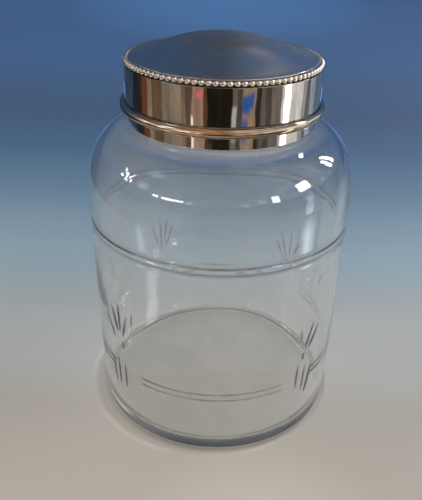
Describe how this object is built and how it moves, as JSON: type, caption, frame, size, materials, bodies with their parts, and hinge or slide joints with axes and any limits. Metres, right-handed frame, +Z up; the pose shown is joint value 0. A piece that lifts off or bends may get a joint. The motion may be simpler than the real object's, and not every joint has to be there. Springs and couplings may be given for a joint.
{
  "type": "sugar box",
  "caption": "Round glass sugar box with cut line and spray decoration, a silver neck mount and a lift-off domed silver lid with a beaded border.",
  "frame": {"origin": "centre of the flat underside of the glass base", "axes": "+Z up along the common axis of jar and lid; -Y is the side the picture shows; -X is its left"},
  "size_m": [0.1078, 0.1078, 0.1593],
  "materials": {
    "glass_jar": "polished",
    "cement_ring": "matte",
    "collar_band": "polished",
    "seat_wire": "polished",
    "lid_wall": "polished",
    "lid_top": "polished",
    "bead_wire": "gloss"
  },
  "bodies": {
    "jar": {"glass_jar": "glass_jar", "cement_ring": "cement_ring", "collar_band": "collar_band", "seat_wire": "seat_wire"},
    "lid": {"lid_wall": "lid_wall", "lid_top": "lid_top", "bead_wire": "bead_wire"}
  },
  "joints": [
    {"name": "lid_lift", "type": "slide", "parent": "jar", "child": "lid", "axis": [0, 0, 1], "range_m": [0, 0.03]}
  ]
}
